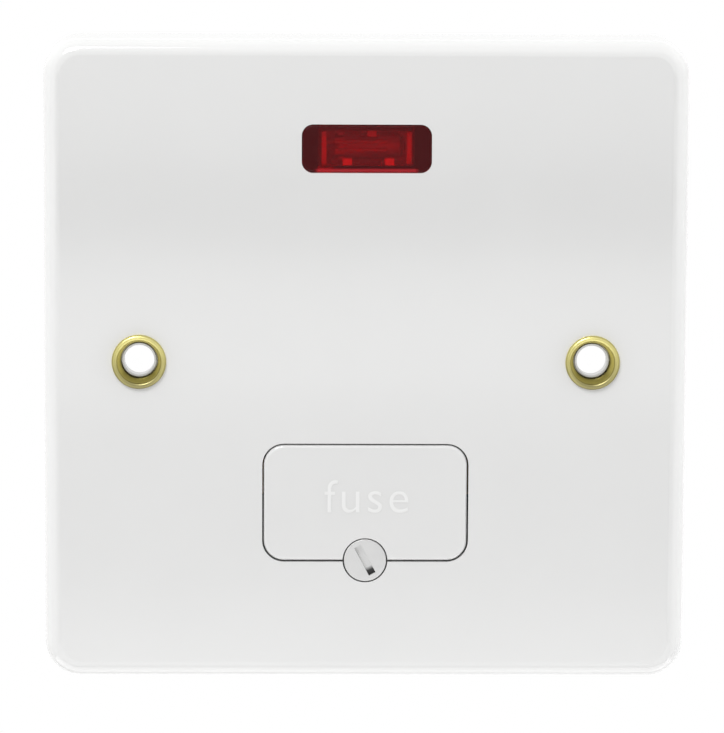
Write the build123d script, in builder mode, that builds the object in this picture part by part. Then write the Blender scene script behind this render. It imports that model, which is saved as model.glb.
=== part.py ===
from build123d import *
import math
import os

# A single-gang fused spur unit: a hollow white front plate with a neon lens and a pull-out fuse drawer,
# and behind it a moulded housing with the fuse contacts and the wire terminals.
# +X is to the right seen from the front, +Z is up, and the front faces -Y. The wall plane is y = 0, and the
# origin lies midway between the two fixing holes. Heights below are measured from the wall plane towards
# the front, so a negative height lies behind the wall. All sizes are in millimetres.

# Front plate
plate_size = 86.0
plate_corner = 5.0
plate_depth = 9.0
crown = 0.8
face_wall = 2.8
skirt_wall = 2.4
hollow_corner = 3.0
edge_round = 2.2
side_draft = 2.0
root_overlap = 0.4
rib_thickness = 1.6
collar_wall = 1.5

# Fixing holes, their eyelets and the earth strap
fixing_pitch = 60.3
fixing_hole = 4.0
neck_wall = 0.25
neck_front = 7.0
eyelet_wall = 0.75
eyelet_flange = 0.4
eyelet_proud = 0.55
eyelet_lip = 0.35
eyelet_throat = 2.3
fixing_boss = 10.0
strap_front = 5.6
strip = 0.9
strap_width = 9.0
strap_end = 5.2
tongue_width = 7.0
tongue_x = -12.1
tongue_bend_z = 17.0
bend_radius = 1.2

# Neon lens and lamp
lens_z = 28.4
lens_width = 17.1
lens_height = 6.3
lens_corner = 1.45
lens_front_wall = 1.2
lens_end_wall = 2.5
lens_hollow_corner = 0.3
lens_side_wall = 0.8
lens_flange = 1.1
lens_flange_depth = 0.8
lens_seat = 5.7
lens_edge_round = 0.3
lamp_radius = 1.9
lamp_glass_wall = 0.4
lamp_length = 9.4
lamp_tip_round = 1.7
lamp_tip = 0.8
lamp_foot = 1.2
lamp_x = 0.5
lamp_height = 4.0
electrode_radius = 0.35
electrode_spacing = 1.2
electrode_length = 7.0
holder_base = 1.0
holder_post = 2.7
holder_wall = 0.4
upright_x = 5.65
upright_thickness = 0.6
upright_half_height = 2.1
clip_front = 7.0
clip_finger = 1.2
clip_finger_reach = 0.8
lower_finger_x = (-2.55, 3.05)
upper_finger_x = 0.7
lamp_pocket_half_width = 6.4
lamp_pocket_floor = -3.4
resistor_radius = 1.1
resistor_length = 6.0
resistor_waist = 0.93
resistor_cap = 1.5
resistor_neck = 0.45
resistor_drop = 6.2
lead_radius = 0.35
lead_bend = 0.6
lead_slope = 3.0
lead_height = 3.4
live_lead_x = -5.9
neutral_lead_x = -5.0
neutral_lead_drop = 5.0
neutral_lead_end_x = 9.6
live_lead_turn_z = -9.0
live_lead_end_x = -15.6

# Fuse drawer, its screw and its nut
flap_z = -18.98
flap_width = 27.1
flap_height = 15.6
flap_corner = 2.7
flap_thickness = 2.6
flap_edge_round = 0.4
flap_skirt = 1.2
flap_skirt_back = 5.0
stem_width = 11.0
stem_wall = 1.25
stem_tail = 2.5
fuse_mouth = 5.2
head_radius = 2.85
head_height = 2.2
head_sink = 0.05
slot_length = 4.2
slot_width = 1.0
slot_depth = 1.1
slot_angle = 28.0
neck_radius = 1.3
thread_radius = 1.75
tab_thickness = 2.0
washer_radius = 2.4
washer_thickness = 0.8
screw_lift = 2.8
thread_grip = 2.5
thread_chamfer = 0.4
insert_radius = 2.5
insert_length = 5.0

# Cartridge fuse and its contact clips
fuse_length = 25.4
fuse_cap_radius = 3.175
fuse_cap_length = 6.2
fuse_cap_wall = 0.3
fuse_tube_radius = 2.95
fuse_tube_bore = 1.8
fuse_rise = 1.5
fuse_height = -1.5
clip_start_x = 7.4
clip_width = 4.8
clip_leaf = 0.6
clip_straight = 1.2
clip_lip = 0.9
clip_flare = 0.5
clip_run_width = 5.0
fuse_floor_gap = 0.225

# Wire terminals
terminal_width = 7.2
terminal_length = 8.6
terminal_depth = 7.9
terminal_pitch = 8.0
live_terminal_x = 18.5
pair_terminal_x = 15.1
wire_bore = 4.4
wire_bore_inset = 2.8
stud_radius = 1.2
stud_head = 0.3
clamp_radius = 1.75
clamp_head_radius = 2.6
clamp_head_height = 1.8
clamp_slot_width = 0.9
clamp_slot_depth = 1.0
clamp_reach = 1.2
clamp_chamfer = 0.4
terminal_corner = 0.5
strip_end_gap = 1.0

# Rear housing and its screws
housing_half_width = 24.0
housing_half_height = 33.0
housing_corner = 2.0
housing_edge = 0.8
well_edge = 0.4
slab_thickness = 3.0
pocket_wall = 1.8
chamber_end_room = 1.7
chamber_side_room = 0.3
post_x = 19.5
post_top_z = 8.0
post_low_z = -7.9
post_radius = 3.2
tapping_radius = 1.45
tapping_reach = 2.2
tapping_head_radius = 2.7
tapping_head_height = 1.9
tapping_head_top = 1.9
well_wall = 1.6

# Clearances
carrier_gap = 0.2
head_gap = 0.15
lens_gap = 0.06
fit_gap = 0.05
loose_gap = 0.25
seat_gap = 0.2
neck_gap = 0.2
clamp_gap = 0.2

# Heights and places that follow from the sizes above
half_plate = plate_size / 2
crown_radius = (half_plate**2 + crown**2) / (2 * crown)
root_height = plate_depth - face_wall + root_overlap
fixing_x = fixing_pitch / 2
neck_outside = fixing_hole / 2 + neck_wall
bore_radius = neck_outside + neck_gap
tube_radius = bore_radius + eyelet_wall
crest_height = plate_depth + eyelet_proud
housing_front = strap_front - strip
slab_back = housing_front - slab_thickness
fuse_z = flap_z + fuse_rise
screw_z = flap_z - flap_height / 2
contact_front = fuse_height - fuse_cap_radius - fuse_floor_gap
block_front = contact_front - strip
block_back = block_front - terminal_depth
wire_height = block_front - wire_bore_inset
deck_back = block_front - pocket_wall
tower_back = block_back - pocket_wall
clamp_tip = wire_height - wire_bore / 2 - clamp_gap
clamp_travel = clamp_tip - (wire_height - wire_bore / 2) + wire_bore - clamp_reach + clamp_gap
clamp_seat = block_back - clamp_gap - clamp_travel
clamp_top = clamp_seat - clamp_head_height
well_back = clamp_top - clamp_gap
terminal_top_z = housing_half_height - pocket_wall - seat_gap
strip_end_z = terminal_top_z - strip_end_gap
terminal_low_z = terminal_top_z - terminal_length
terminal_mid_z = (terminal_top_z + terminal_low_z) / 2
pair_width = terminal_width + terminal_pitch
clip_reach = fuse_cap_radius + fit_gap
chamber_half_width = fuse_length / 2 + chamber_end_room
chamber_half_height = fuse_cap_radius + stem_wall + chamber_side_room
above_face = plate_depth + face_wall
lamp_left = lamp_x - lamp_length / 2
lamp_right = lamp_x + lamp_length / 2
resistor_top_z = lens_z - resistor_drop
neutral_lead_z = lens_z - neutral_lead_drop
neutral_lead_end_z = terminal_low_z + terminal_length / 4


def level(height):
    """The plane parallel to the wall at this height, drawn on in X and Z."""
    return Plane.XZ.offset(height)


def face_height(z):
    """How far the crowned face stands in front of the wall at this Z."""
    return plate_depth - crown_radius + math.sqrt(crown_radius**2 - z**2)


def prism(x_span, z_span, heights, corner=0.0, mode=Mode.ADD):
    """A block between two heights, with its upright edges rounded."""
    left, right = x_span
    low, high = z_span
    back, front = heights
    with BuildSketch(level(back)) as outline:
        with Locations(((left + right) / 2, (low + high) / 2)):
            if corner:
                RectangleRounded(right - left, high - low, corner)
            else:
                Rectangle(right - left, high - low)
    extrude(outline.sketch, amount=front - back, mode=mode)


def disc(x, z, radius, heights, mode=Mode.ADD):
    """A round boss or hole between two heights."""
    back, front = heights
    with BuildSketch(level(back)) as outline:
        with Locations((x, z)):
            Circle(radius)
    extrude(outline.sketch, amount=front - back, mode=mode)


def turned(x, z, points, mode=Mode.ADD):
    """A turned form on a line square to the wall, from its (radius, height) outline."""
    with BuildSketch(Plane((x, 0, z), x_dir=(1, 0, 0), z_dir=(0, 0, 1))) as profile:
        with BuildLine():
            Polyline(*[(radius, -height) for radius, height in points], close=True)
        make_face()
    revolve(profile.sketch, axis=Axis((x, 0, z), (0, 1, 0)), mode=mode)


def rod(z, height, radius, x_span, mode=Mode.ADD):
    """A round bar along X between two places."""
    left, right = x_span
    with BuildSketch(Plane.YZ.offset(left)) as outline:
        with Locations((-height, z)):
            Circle(radius)
    extrude(outline.sketch, amount=right - left, mode=mode)


def behind_face(inset):
    """Everything behind the crowned face, moved back by inset."""
    with BuildPart() as space:
        with BuildSketch(Plane.YZ):
            with Locations((crown_radius - plate_depth, 0)):
                Circle(crown_radius - inset)
            Rectangle(2 * plate_size, 2 * plate_size, mode=Mode.INTERSECT)
        extrude(amount=plate_size, both=True)
    return space.part


def carrier_outline(height, grow):
    """The fuse drawer's outline with its screw tab, grown all round."""
    with BuildSketch(level(height)) as outline:
        with Locations((0, flap_z)):
            RectangleRounded(flap_width + 2 * grow, flap_height + 2 * grow, flap_corner + grow)
        with Locations((0, screw_z)):
            Circle(head_radius + head_gap - carrier_gap + grow)
    return outline.sketch


def lens_outline(height, grow):
    """The lens's outline, grown all round."""
    with BuildSketch(level(height)) as outline:
        with Locations((0, lens_z)):
            RectangleRounded(lens_width + 2 * grow, lens_height + 2 * grow, lens_corner + grow)
    return outline.sketch


def moulded(x_span, z_span, heights):
    """A block of the housing with its edges bevelled at the back."""
    with BuildPart() as block:
        prism(x_span, z_span, heights, corner=housing_corner)
        chamfer(block.faces().sort_by(Axis.Y)[-1].edges(), housing_edge)
    return block.part


def save(piece, name):
    """Label a finished piece and write it as its own file."""
    piece.part.label = name
    export_step(piece.part, f"parts/{name}.step")


os.makedirs("parts", exist_ok=True)
post_places = [(x, z) for x in (-post_x, post_x) for z in (post_low_z, post_top_z)]

# Front plate: a crowned tray with bosses, and with collars round the drawer and the lens
with BuildPart() as plate_hollow:
    with BuildSketch(level(0)):
        RectangleRounded(plate_size - 2 * skirt_wall, plate_size - 2 * skirt_wall, hollow_corner)
    extrude(amount=plate_depth, taper=side_draft)
    add(behind_face(face_wall), mode=Mode.INTERSECT)

with BuildPart() as front_plate:
    with BuildSketch(level(0)):
        RectangleRounded(plate_size, plate_size, plate_corner)
    extrude(amount=plate_depth, taper=side_draft)
    add(behind_face(0), mode=Mode.INTERSECT)
    fillet(front_plate.faces().sort_by(Axis.Y)[0].edges(), edge_round)
    add(plate_hollow.part, mode=Mode.SUBTRACT)
    for side in (-1, 1):
        disc(side * fixing_x, 0, fixing_boss / 2, (strap_front, root_height))
        rib_span = sorted((side * fixing_x, side * (half_plate - skirt_wall / 2)))
        prism(rib_span, (-rib_thickness / 2, rib_thickness / 2), (strap_front, root_height))
    for x, z in post_places:
        disc(x, z, post_radius, (housing_front, root_height))
    extrude(carrier_outline(housing_front, carrier_gap + collar_wall), amount=root_height - housing_front)
    extrude(lens_outline(lens_seat, lens_gap + collar_wall), amount=root_height - lens_seat)
    extrude(
        carrier_outline(housing_front, carrier_gap),
        amount=above_face - housing_front,
        mode=Mode.SUBTRACT,
    )
    extrude(lens_outline(lens_seat, lens_gap), amount=above_face - lens_seat, mode=Mode.SUBTRACT)
    for x, z in post_places:
        hole_end = slab_back + slab_thickness + tapping_reach + loose_gap
        disc(x, z, tapping_radius + fit_gap, (housing_front, hole_end), mode=Mode.SUBTRACT)
    for side in (-1, 1):
        disc(side * fixing_x, 0, tube_radius + fit_gap, (strap_front, above_face), mode=Mode.SUBTRACT)
save(front_plate, "front_plate")

# Eyelets: turned bushes with a rounded rim that stands on the face, and a mouth that narrows like a funnel
# to the bore
for name, side in (("eyelet_left", -1), ("eyelet_right", 1)):
    with BuildPart() as eyelet:
        rim = tube_radius + eyelet_flange
        slope = math.atan2(eyelet_wall - eyelet_lip, eyelet_throat - eyelet_lip)
        mouth_radius = tube_radius - eyelet_lip * math.cos(slope)
        mouth_height = crest_height - eyelet_lip * (1 - math.sin(slope))
        crest = (tube_radius, -crest_height)
        mouth = (mouth_radius, -mouth_height)
        throat = (bore_radius, -(crest_height - eyelet_throat))
        with BuildSketch(Plane((side * fixing_x, 0, 0), x_dir=(1, 0, 0), z_dir=(0, 0, 1))):
            with BuildLine():
                TangentArc(crest, mouth, tangent=(-1, 0))
                TangentArc(crest, (rim, -plate_depth), tangent=(1, 0))
                Polyline(
                    (rim, -plate_depth),
                    (tube_radius, -plate_depth),
                    (tube_radius, -strap_front),
                    (bore_radius, -strap_front),
                    throat,
                    mouth,
                )
            make_face()
        revolve(axis=Axis((side * fixing_x, 0, 0), (0, 1, 0)))
    save(eyelet, name)

# Earth strap: one folded strip, with a drawn neck inside each eyelet and a tongue that steps back to the
# earth terminal
with BuildPart() as earth_strap:
    with BuildSketch(level(housing_front)):
        RectangleRounded(fixing_pitch + 2 * strap_end, strap_width, bend_radius)
        with Locations((tongue_x, tongue_bend_z / 2)):
            Rectangle(tongue_width, tongue_bend_z)
        with Locations((-fixing_x, 0), (fixing_x, 0)):
            Circle(fixing_hole / 2, mode=Mode.SUBTRACT)
    extrude(amount=strip)
    with BuildSketch(Plane.YZ.offset(tongue_x - tongue_width / 2)):
        with BuildLine():
            Polyline(
                (-strap_front, tongue_bend_z - strip),
                (-strap_front, tongue_bend_z),
                (-contact_front, tongue_bend_z),
                (-contact_front, strip_end_z),
                (-block_front, strip_end_z),
                (-block_front, tongue_bend_z - strip),
                close=True,
            )
        make_face()
    extrude(amount=tongue_width)
    folds = earth_strap.edges().filter_by(Axis.X).filter_by(
        lambda e: abs(e.length - tongue_width) < 0.01
    )
    outer_top = folds.sort_by_distance((tongue_x, -strap_front, tongue_bend_z))[0]
    outer_low = folds.sort_by_distance((tongue_x, -block_front, tongue_bend_z - strip))[0]
    fillet([outer_top, outer_low], strip)
    for side in (-1, 1):
        neck_outline = [
            (fixing_hole / 2, strap_front),
            (fixing_hole / 2, neck_front),
            (neck_outside, neck_front),
            (neck_outside, strap_front),
        ]
        turned(side * fixing_x, 0, neck_outline)
    disc(tongue_x, terminal_mid_z, stud_radius + fit_gap, (block_front, contact_front), mode=Mode.SUBTRACT)
save(earth_strap, "earth_strap")

# Neon lens: a red cap with a flange behind the plate, hollow from the back
with BuildPart() as neon_lens:
    extrude(lens_outline(lens_seat - lens_flange_depth, 0), amount=above_face - lens_seat + lens_flange_depth)
    add(behind_face(0), mode=Mode.INTERSECT)
    fillet(neon_lens.faces().sort_by(Axis.Y)[0].edges(), lens_edge_round)
    extrude(lens_outline(lens_seat - lens_flange_depth, lens_flange), amount=lens_flange_depth)
    prism(
        (-lens_width / 2 + lens_end_wall, lens_width / 2 - lens_end_wall),
        (lens_z - lens_height / 2 + lens_side_wall, lens_z + lens_height / 2 - lens_side_wall),
        (lens_seat - lens_flange_depth, face_height(lens_z) - lens_front_wall),
        corner=lens_hollow_corner,
        mode=Mode.SUBTRACT,
    )
save(neon_lens, "neon_lens")

# Lamp holder: a base with two saddle posts, an upright at each end, and three fingers that clip over the lamp
electrode_places = [lens_z - electrode_spacing / 2, lens_z + electrode_spacing / 2]
with BuildPart() as lamp_holder:
    holder_top = lamp_pocket_floor + holder_base
    holder_half = lamp_radius + holder_wall
    low_z = lens_z - holder_half
    high_z = lens_z + holder_half
    base_half = upright_x + upright_thickness / 2
    prism((-base_half, base_half), (low_z, high_z), (lamp_pocket_floor, holder_top))
    for left in (lamp_left + lead_bend, lamp_right - lead_bend - holder_post):
        prism((left, left + holder_post), (low_z, high_z), (holder_top, lamp_height))
    leg_low_z = electrode_places[1] + lead_radius + seat_gap
    for x in (-upright_x, upright_x):
        span = (x - upright_thickness / 2, x + upright_thickness / 2)
        prism(span, (leg_low_z, lens_z + upright_half_height), (holder_top, clip_front))
        bar_heights = (lamp_height + lead_radius + loose_gap, clip_front)
        prism(span, (lens_z - upright_half_height, lens_z + upright_half_height), bar_heights)
    finger_heights = (holder_top, clip_front)
    for x in lower_finger_x:
        span = (x - clip_finger / 2, x + clip_finger / 2)
        prism(span, (low_z, low_z + clip_finger_reach), finger_heights)
    span = (upper_finger_x - clip_finger / 2, upper_finger_x + clip_finger / 2)
    prism(span, (high_z - clip_finger_reach, high_z), finger_heights)
    rod(lens_z, lamp_height, lamp_radius + fit_gap, (lamp_left, lamp_right), mode=Mode.SUBTRACT)
save(lamp_holder, "lamp_holder")

# Neon lamp: a thin glass bulb with a domed tip, and two electrodes that pass through its foot
with BuildPart() as neon_glass:
    rod(lens_z, lamp_height, lamp_radius, (lamp_left, lamp_right))
    fillet(neon_glass.faces().sort_by(Axis.X)[-1].edges(), lamp_tip_round)
    inner = lamp_radius - lamp_glass_wall
    hollow_span = (lamp_left + lamp_foot, lamp_right - lamp_tip)
    rod(lens_z, lamp_height, inner, hollow_span, mode=Mode.SUBTRACT)
    for z in electrode_places:
        rod(z, lamp_height, electrode_radius + fit_gap, (lamp_left, lamp_x), mode=Mode.SUBTRACT)
save(neon_glass, "neon_glass")

with BuildPart() as neon_electrodes:
    for z in electrode_places:
        rod(z, lamp_height, electrode_radius, (lamp_left, lamp_left + electrode_length))
save(neon_electrodes, "neon_electrodes")

# Dropper resistor: a barrel with swollen ends, in line with the lamp's live lead
with BuildPart() as dropper_resistor:
    resistor_low_z = resistor_top_z - resistor_length
    with BuildSketch(Plane.XZ.offset(lead_height)):
        with BuildLine():
            rim = live_lead_x + resistor_radius
            waist = live_lead_x + resistor_waist
            low_cap = resistor_low_z + resistor_cap
            top_cap = resistor_top_z - resistor_cap
            Polyline(
                (live_lead_x, resistor_low_z),
                (rim, resistor_low_z),
                (rim, low_cap),
                (waist, low_cap + resistor_neck),
                (waist, top_cap - resistor_neck),
                (rim, top_cap),
                (rim, resistor_top_z),
                (live_lead_x, resistor_top_z),
                close=True,
            )
        make_face()
    revolve(axis=Axis((live_lead_x, -lead_height, 0), (0, 0, 1)))
save(dropper_resistor, "dropper_resistor")

# Lamp leads: stiff wires laid in grooves in the housing's front
drop = lamp_height - lead_height
lead_routes = {
    "neon_lead_live": [
        (lamp_left, -lamp_height, electrode_places[1]),
        (live_lead_x, -lamp_height, electrode_places[1]),
        (live_lead_x, -lead_height, electrode_places[1] - lead_slope * drop),
        (live_lead_x, -lead_height, resistor_top_z),
    ],
    "neon_lead_load": [
        (live_lead_x, -lead_height, resistor_low_z),
        (live_lead_x, -lead_height, live_lead_turn_z),
        (live_lead_end_x, -lead_height, live_lead_turn_z),
        (live_lead_end_x, -lead_height, fuse_z),
        (live_lead_end_x, -contact_front, fuse_z),
    ],
    "neon_lead_neutral": [
        (lamp_left, -lamp_height, electrode_places[0]),
        (neutral_lead_x, -lamp_height, electrode_places[0]),
        (neutral_lead_x, -lead_height, electrode_places[0] - lead_slope * drop),
        (neutral_lead_x, -lead_height, neutral_lead_z),
        (neutral_lead_end_x, -lead_height, neutral_lead_z),
        (neutral_lead_end_x, -lead_height, neutral_lead_end_z),
        (neutral_lead_end_x, -block_front, neutral_lead_end_z),
    ],
}
for name, route in lead_routes.items():
    with BuildPart() as lead:
        with BuildLine() as path:
            FilletPolyline(*route, radius=lead_bend)
        with BuildSketch(Plane(origin=path.line @ 0, z_dir=path.line % 0)):
            Circle(lead_radius)
        sweep(path=path.line)
    save(lead, name)

# Fuse drawer: a flush flap with a skirt, a screw tab and a stem that clips round the fuse
flap_back = face_height(flap_z) - flap_thickness
screw_top = face_height(screw_z) - head_sink
head_back = screw_top - head_height
tab_back = head_back - tab_thickness
washer_front = tab_back - screw_lift
insert_front = washer_front - washer_thickness - screw_lift
screw_tip = insert_front - thread_grip
stem_half_height = fuse_cap_radius + stem_wall
stem_back = fuse_height - stem_tail
with BuildPart() as fuse_carrier:
    with BuildSketch(level(flap_skirt_back)):
        with Locations((0, flap_z)):
            RectangleRounded(flap_width, flap_height, flap_corner)
    extrude(amount=above_face - flap_skirt_back)
    add(behind_face(0), mode=Mode.INTERSECT)
    fillet(fuse_carrier.faces().sort_by(Axis.Y)[0].edges(), flap_edge_round)
    prism(
        (-flap_width / 2 + flap_skirt, flap_width / 2 - flap_skirt),
        (flap_z - flap_height / 2 + flap_skirt, flap_z + flap_height / 2 - flap_skirt),
        (flap_skirt_back, flap_back),
        corner=flap_corner - flap_skirt,
        mode=Mode.SUBTRACT,
    )
    stem_z = (fuse_z - stem_half_height, fuse_z + stem_half_height)
    prism((-stem_width / 2, stem_width / 2), stem_z, (stem_back, flap_back))
    disc(0, screw_z, head_radius + head_gap - carrier_gap, (tab_back, head_back))
    disc(0, screw_z, head_radius + head_gap, (head_back, above_face), mode=Mode.SUBTRACT)
    disc(0, screw_z, neck_radius + seat_gap, (tab_back, above_face), mode=Mode.SUBTRACT)
    seat_span = (-stem_width / 2, stem_width / 2)
    rod(fuse_z, fuse_height, fuse_tube_radius + fit_gap, seat_span, mode=Mode.SUBTRACT)
    prism(
        seat_span,
        (fuse_z - fuse_mouth / 2, fuse_z + fuse_mouth / 2),
        (stem_back, fuse_height),
        mode=Mode.SUBTRACT,
    )
save(fuse_carrier, "fuse_carrier")

# Cartridge fuse: a ceramic tube between two metal caps
half_fuse = fuse_length / 2
cap_start = half_fuse - fuse_cap_length
with BuildPart() as fuse_tube:
    tube_end = half_fuse - fuse_cap_wall
    rod(fuse_z, fuse_height, fuse_tube_radius, (-tube_end, tube_end))
    rod(fuse_z, fuse_height, fuse_tube_bore, (-tube_end, tube_end), mode=Mode.SUBTRACT)
save(fuse_tube, "fuse_tube")

for name, side in (("fuse_end_cap_left", -1), ("fuse_end_cap_right", 1)):
    with BuildPart() as end_cap:
        rod(fuse_z, fuse_height, fuse_cap_radius, sorted((side * cap_start, side * half_fuse)))
        end_face = end_cap.faces().sort_by(Axis.X)[-1 if side > 0 else 0]
        chamfer(end_face.edges(), fuse_cap_wall)
        rod(
            fuse_z,
            fuse_height,
            fuse_tube_radius,
            sorted((side * cap_start, side * tube_end)),
            mode=Mode.SUBTRACT,
        )
    save(end_cap, name)

# Drawer screw: a slotted head on a thin neck, with the thread at its end
with BuildPart() as carrier_screw:
    screw_outline = [
        (0, screw_top),
        (head_radius, screw_top),
        (head_radius, head_back),
        (neck_radius, head_back),
        (neck_radius, insert_front + screw_lift),
        (thread_radius, insert_front + screw_lift),
        (thread_radius, screw_tip + thread_chamfer),
        (thread_radius - thread_chamfer, screw_tip),
        (0, screw_tip),
    ]
    turned(0, screw_z, screw_outline)
    fillet(carrier_screw.faces().sort_by(Axis.Y)[0].edges(), head_gap)
    with BuildSketch(level(screw_top - slot_depth)):
        with Locations(Location((0, screw_z), 90 + slot_angle)):
            Rectangle(slot_length, slot_width)
    extrude(amount=slot_depth, mode=Mode.SUBTRACT)
save(carrier_screw, "carrier_screw")

with BuildPart() as captive_washer:
    washer_heights = (washer_front - washer_thickness, washer_front)
    disc(0, screw_z, washer_radius, washer_heights)
    disc(0, screw_z, neck_radius + fit_gap, washer_heights, mode=Mode.SUBTRACT)
save(captive_washer, "captive_washer")

with BuildPart() as threaded_insert:
    insert_heights = (insert_front - insert_length, insert_front)
    disc(0, screw_z, insert_radius, insert_heights)
    disc(0, screw_z, thread_radius + fit_gap, insert_heights, mode=Mode.SUBTRACT)
save(threaded_insert, "threaded_insert")

# Contact clips: each a pressed strip with two leaves round a fuse cap and a foot on its live terminal
for name, side in (("feed_contact_clip", 1), ("load_contact_clip", -1)):
    with BuildPart() as clip:
        clip_end_x = clip_start_x + clip_width
        live_x = side * live_terminal_x
        half_foot = clip_run_width / 2
        leaf_outside = clip_reach + clip_leaf
        with BuildSketch(level(block_front)):
            with Locations((side * (clip_start_x + clip_width / 2), fuse_z)):
                Rectangle(clip_width, 2 * leaf_outside)
            run = live_terminal_x + half_foot - clip_end_x
            with Locations((side * (clip_end_x + run / 2), fuse_z)):
                Rectangle(run, clip_run_width)
            foot = fuse_z + half_foot + strip_end_z
            with Locations((live_x, fuse_z + half_foot - foot / 2)):
                Rectangle(clip_run_width, foot)
            with Locations((live_x, -terminal_mid_z)):
                Circle(stud_radius + fit_gap, mode=Mode.SUBTRACT)
        extrude(amount=strip)
        lip_start = fuse_height + clip_straight
        for way in (-1, 1):
            with BuildSketch(Plane.YZ.offset(min(side * clip_start_x, side * clip_end_x))):
                with BuildLine():
                    Polyline(
                        (-contact_front, fuse_z + way * clip_reach),
                        (-lip_start, fuse_z + way * clip_reach),
                        (-(lip_start + clip_lip), fuse_z + way * (clip_reach + clip_flare)),
                        (-(lip_start + clip_lip), fuse_z + way * (leaf_outside + clip_flare)),
                        (-lip_start, fuse_z + way * leaf_outside),
                        (-contact_front, fuse_z + way * leaf_outside),
                        close=True,
                    )
                make_face()
            extrude(amount=clip_width)
    save(clip, name)

# Terminal blocks: brass, with wire bores along Z and a clamping screw behind each bore
earth_bores = [-pair_terminal_x - terminal_pitch / 2, -pair_terminal_x + terminal_pitch / 2]
neutral_bores = [pair_terminal_x - terminal_pitch / 2, pair_terminal_x + terminal_pitch / 2]
terminal_blocks = {
    "feed_live_terminal": ([live_terminal_x], -1, live_terminal_x),
    "load_live_terminal": ([-live_terminal_x], -1, -live_terminal_x),
    "earth_terminal": (earth_bores, 1, tongue_x),
    "neutral_terminal": (neutral_bores, 1, None),
}
for name, (bores, row, stud_x) in terminal_blocks.items():
    with BuildPart() as block:
        z_span = sorted((row * terminal_low_z, row * terminal_top_z))
        half_block = terminal_width / 2
        x_span = (bores[0] - half_block, bores[-1] + half_block)
        prism(x_span, z_span, (block_back, block_front), corner=terminal_corner)
        if stud_x is not None:
            disc(stud_x, row * terminal_mid_z, stud_radius, (block_front, contact_front + stud_head))
        with BuildSketch(Plane.XY.offset(z_span[0])):
            with Locations([(x, -wire_height) for x in bores]):
                Circle(wire_bore / 2)
        extrude(amount=terminal_length, mode=Mode.SUBTRACT)
        for x in bores:
            thread_heights = (block_back, wire_height)
            disc(x, row * terminal_mid_z, clamp_radius + fit_gap, thread_heights, mode=Mode.SUBTRACT)
    save(block, name)

# Terminal screws, backed out so that each wire bore is open
screw_places = {
    "feed_live_screw": (live_terminal_x, -terminal_mid_z),
    "load_live_screw": (-live_terminal_x, -terminal_mid_z),
    "earth_left_screw": (earth_bores[0], terminal_mid_z),
    "earth_right_screw": (earth_bores[1], terminal_mid_z),
    "neutral_left_screw": (neutral_bores[0], terminal_mid_z),
    "neutral_right_screw": (neutral_bores[1], terminal_mid_z),
}
for name, (x, z) in screw_places.items():
    with BuildPart() as terminal_screw:
        disc(x, z, clamp_radius, (clamp_seat, clamp_tip))
        chamfer(terminal_screw.faces().sort_by(Axis.Y)[0].edges(), clamp_chamfer)
        disc(x, z, clamp_head_radius, (clamp_top, clamp_seat))
        prism(
            (x - clamp_head_radius, x + clamp_head_radius),
            (z - clamp_slot_width / 2, z + clamp_slot_width / 2),
            (clamp_top, clamp_top + clamp_slot_depth),
            mode=Mode.SUBTRACT,
        )
    save(terminal_screw, name)

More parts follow.
